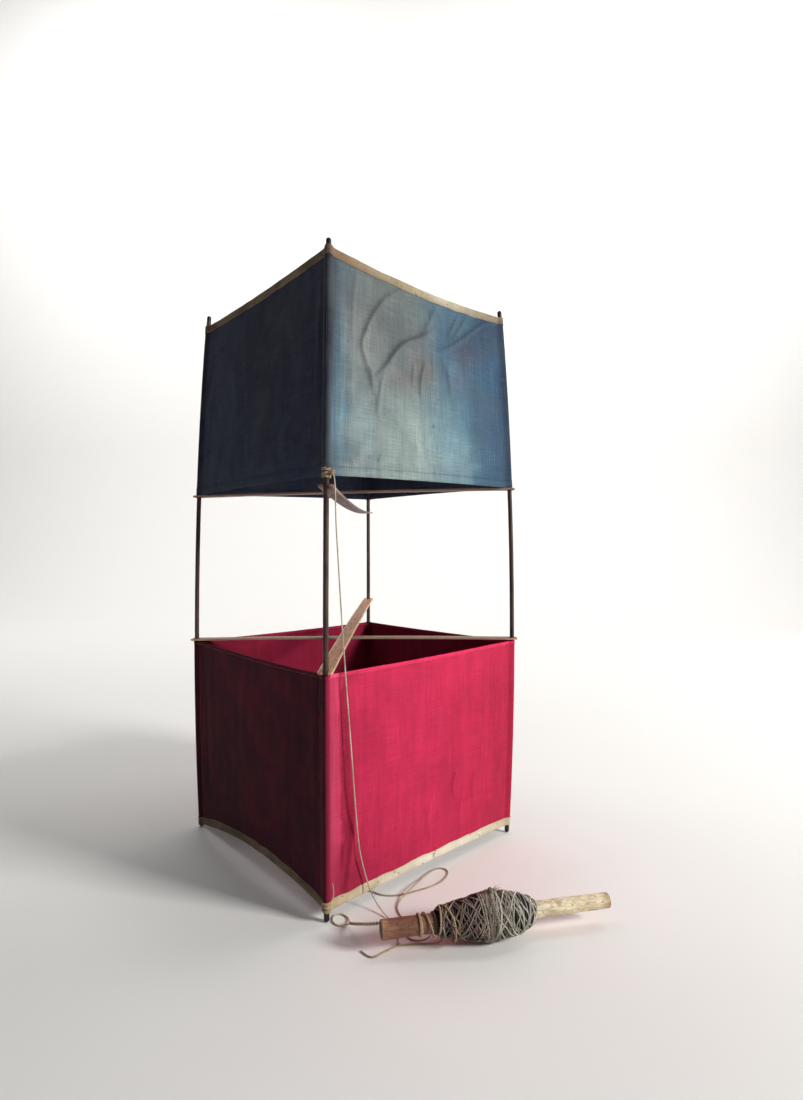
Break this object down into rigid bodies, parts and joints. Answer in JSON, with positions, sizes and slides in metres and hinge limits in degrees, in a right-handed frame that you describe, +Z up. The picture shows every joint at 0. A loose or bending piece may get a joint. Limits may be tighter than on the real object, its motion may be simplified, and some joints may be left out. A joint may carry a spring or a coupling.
{
  "type": "box kite",
  "caption": "Square two-cell box kite of cloth on round corner sticks, braced by forked flat battens, with a line wound on a stick.",
  "frame": {"origin": "on the ground at the kite's centre line, midway between the sticks' feet", "axes": "+Z up along the kite; the front edge with the towing point faces -Y; +X is to its right"},
  "size_m": [0.6623, 0.6312, 0.914],
  "materials": {
    "longeron_wood": "dark reddish-brown varnished round stick, worn",
    "tan_wood": "pale planed batten, rubbed edges",
    "brown_wood": "reddish-brown planed batten",
    "winder_wood": "barked stick, mottled, one end bleached",
    "indigo_cotton": "faded indigo plain-weave cotton, creased and stained",
    "crimson_cotton": "crimson plain-weave cotton, vertical folds",
    "cream_tape": "cream cotton tape binding, foxed",
    "indigo_hem": "turned and stitched hem",
    "crimson_hem": "turned and stitched hem",
    "flax_twine": "laid flax twine, dry",
    "wound_twine": "laid flax twine, soiled where handled"
  },
  "bodies": {
    "kite": {"near_longeron": "longeron_wood", "left_longeron": "longeron_wood", "right_longeron": "longeron_wood", "back_longeron": "longeron_wood", "lower_front_left_panel": "crimson_cotton", "lower_front_right_panel": "crimson_cotton", "lower_back_left_panel": "crimson_cotton", "lower_back_right_panel": "crimson_cotton", "lower_near_sleeve": "crimson_cotton", "lower_left_sleeve": "crimson_cotton", "lower_right_sleeve": "crimson_cotton", "lower_back_sleeve": "crimson_cotton", "lower_edge_binding": "cream_tape", "lower_cell_hem": "crimson_hem", "upper_front_left_panel": "indigo_cotton", "upper_front_right_panel": "indigo_cotton", "upper_back_left_panel": "indigo_cotton", "upper_back_right_panel": "indigo_cotton", "upper_near_sleeve": "indigo_cotton", "upper_left_sleeve": "indigo_cotton", "upper_right_sleeve": "indigo_cotton", "upper_back_sleeve": "indigo_cotton", "upper_edge_binding": "cream_tape", "upper_cell_hem": "indigo_hem", "tow_lashing": "flax_twine", "foot_lashing": "flax_twine", "tow_knot": "flax_twine", "tow_line": "flax_twine", "stay_thread": "flax_twine", "line_knot": "flax_twine", "lower_bridle_line": "flax_twine", "winder_lead_line": "flax_twine", "line_tail": "flax_twine", "becket_twist": "flax_twine", "becket_eye": "flax_twine"},
    "lower_fore_aft": {"lower_fore_aft_spreader": "tan_wood"},
    "upper_fore_aft": {"upper_fore_aft_spreader": "brown_wood"},
    "lower_cross": {"lower_cross_spreader": "tan_wood"},
    "upper_cross": {"upper_cross_spreader": "brown_wood"},
    "winder": {"winder_stick": "winder_wood", "wound_line": "wound_twine", "winder_loose_turns": "wound_twine", "winding_end_knot": "wound_twine"}
  },
  "joints": [
    {"name": "lower_cross_slide", "type": "slide", "parent": "kite", "child": "lower_cross", "axis": [0, 0, 1], "range_m": [0, 0.01]},
    {"name": "upper_cross_slide", "type": "slide", "parent": "kite", "child": "upper_cross", "axis": [0, 0, -1], "range_m": [0, 0.012]},
    {"name": "lower_fore_aft_tilt", "type": "hinge", "parent": "kite", "child": "lower_fore_aft", "pos_m": [0, -0.2799, 0.3315], "axis": [1, 0, 0], "range_deg": [-1.5, 3.5]},
    {"name": "upper_fore_aft_tilt", "type": "hinge", "parent": "kite", "child": "upper_fore_aft", "pos_m": [0, 0.2767, 0.5795], "axis": [1, 0, 0], "range_deg": [-0.5, 4]},
    {"name": "winder_roll", "type": "hinge", "parent": "kite", "child": "winder", "pos_m": [0.0764, -0.3317, 0.029], "axis": [0.9675, 0.2529, 0], "continuous": true}
  ]
}
